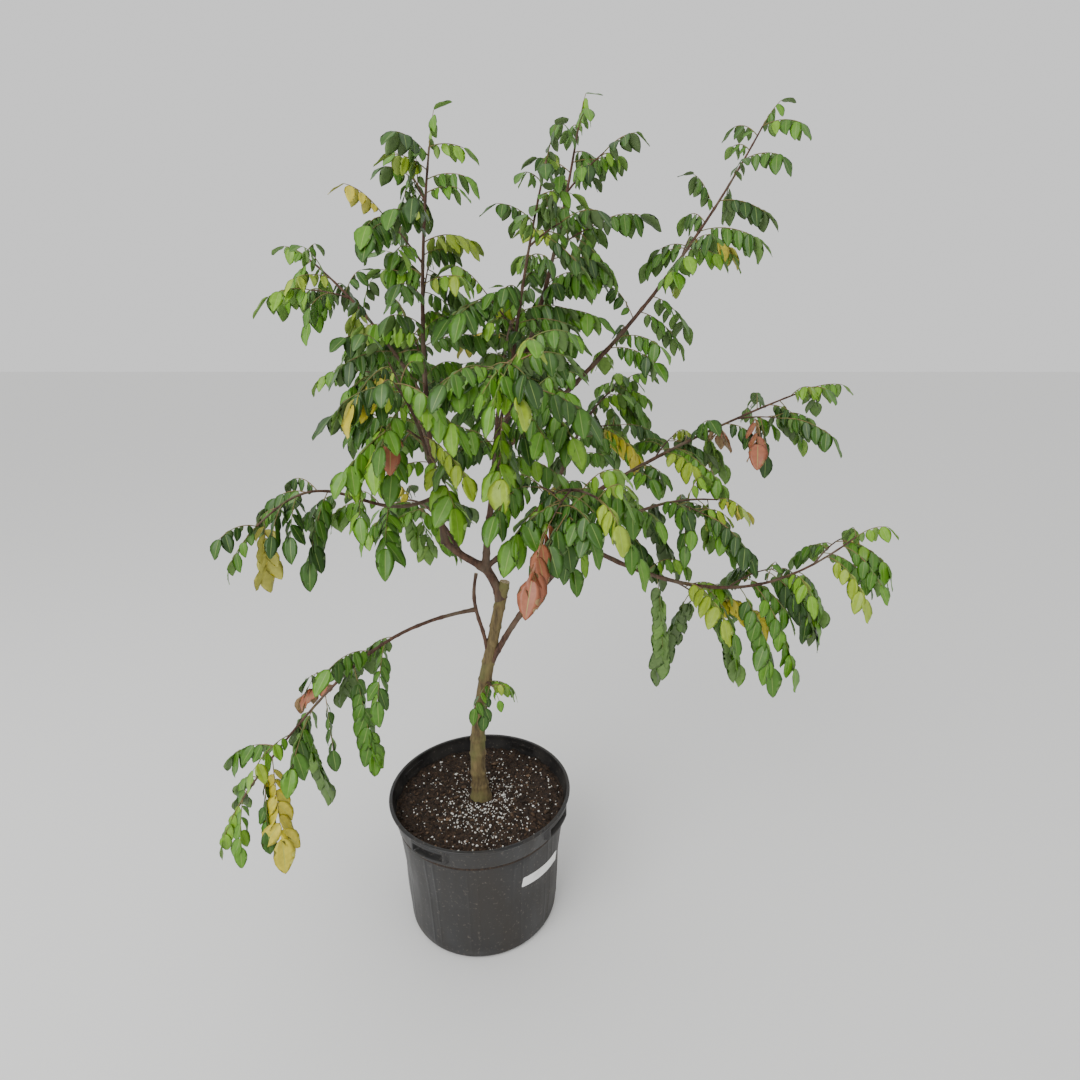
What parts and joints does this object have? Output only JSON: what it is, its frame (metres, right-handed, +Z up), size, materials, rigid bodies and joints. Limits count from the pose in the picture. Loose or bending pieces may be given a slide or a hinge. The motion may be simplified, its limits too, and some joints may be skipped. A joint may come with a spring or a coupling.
{
  "type": "potted star fruit tree",
  "caption": "Young star fruit tree with an open crown of drooping compound leaves, standing in a round black nursery pot of potting mix.",
  "frame": {"origin": "centre of the pot's flat underside, on the ground", "axes": "+Z up, the long right-hand boughs reach along +X, and the front, where the label's side faces, is -Y"},
  "size_m": [1.4063, 1.0325, 1.8259],
  "materials": {
    "pot_plastic": "satin black, dusty",
    "potting_mix": "loose, rough",
    "label_paper": "matte white, blank",
    "trunk_bark": "rough olive-brown bark",
    "bough_bark": "dark reddish brown bark",
    "leaves": "soft green, slightly glossy"
  },
  "bodies": {
    "root": {"bough_back_left": "bough_bark", "bough_back_low": "bough_bark", "bough_back_middle": "bough_bark", "bough_back_right": "bough_bark", "bough_centre_leader": "bough_bark", "bough_fork_limb": "bough_bark", "bough_front_left": "bough_bark", "bough_front_middle": "bough_bark", "bough_front_right": "bough_bark", "bough_inner_right": "bough_bark", "bough_left_leader": "bough_bark", "bough_left_limb": "bough_bark", "bough_low_left": "bough_bark", "bough_low_right": "bough_bark", "bough_low_right_limb": "bough_bark", "bough_middle_left": "bough_bark", "bough_middle_right": "bough_bark", "bough_thin_stem": "bough_bark", "bough_top_middle": "bough_bark", "bough_upper_left": "bough_bark", "bough_upper_right": "bough_bark", "foliage_back_left": "leaves", "foliage_back_low": "leaves", "foliage_back_middle": "leaves", "foliage_back_right": "leaves", "foliage_centre_leader": "leaves", "foliage_front_left": "leaves", "foliage_front_middle": "leaves", "foliage_front_right": "leaves", "foliage_inner_right": "leaves", "foliage_left_leader": "leaves", "foliage_low_left": "leaves", "foliage_low_right": "leaves", "foliage_middle_left": "leaves", "foliage_middle_right": "leaves", "foliage_top_middle": "leaves", "foliage_trunk_shoot": "leaves", "foliage_upper_left": "leaves", "foliage_upper_right": "leaves", "pot": "pot_plastic", "pot_label": "label_paper", "soil": "potting_mix", "trunk": "trunk_bark"}
  },
  "joints": []
}
